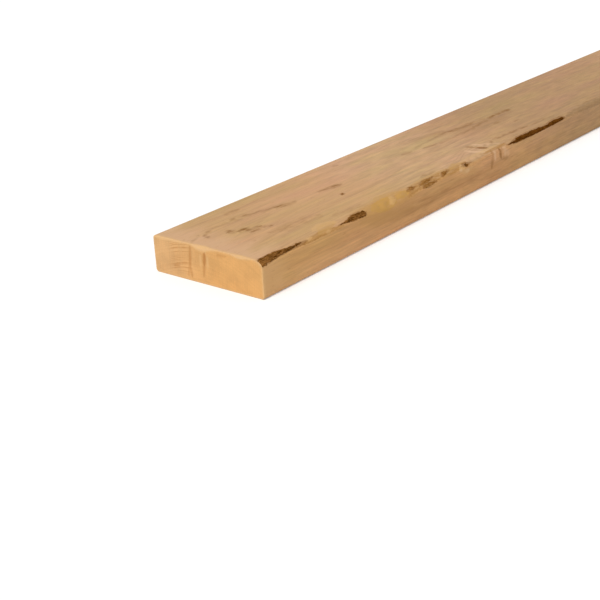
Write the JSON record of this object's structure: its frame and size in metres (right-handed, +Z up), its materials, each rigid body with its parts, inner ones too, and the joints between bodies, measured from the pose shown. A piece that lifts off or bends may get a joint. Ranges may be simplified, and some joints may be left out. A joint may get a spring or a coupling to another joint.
{
  "type": "timber lumber plank",
  "caption": "Dressed softwood plank of rectangular section with eased long arrises, square-cut ends and a waney arris that keeps strips of bark.",
  "frame": {"origin": "middle of the underside, halfway along the plank", "axes": "+X along the plank's length, away from the end with the wane; +Y across its width, away from the waney arris; +Z up through its thickness, with the wane at the upper face"},
  "size_m": [2.438, 0.14, 0.038],
  "materials": {
    "timber": "planed, unfinished softwood, with fine long grain"
  },
  "bodies": {
    "root": {"plank": "timber"}
  },
  "joints": []
}
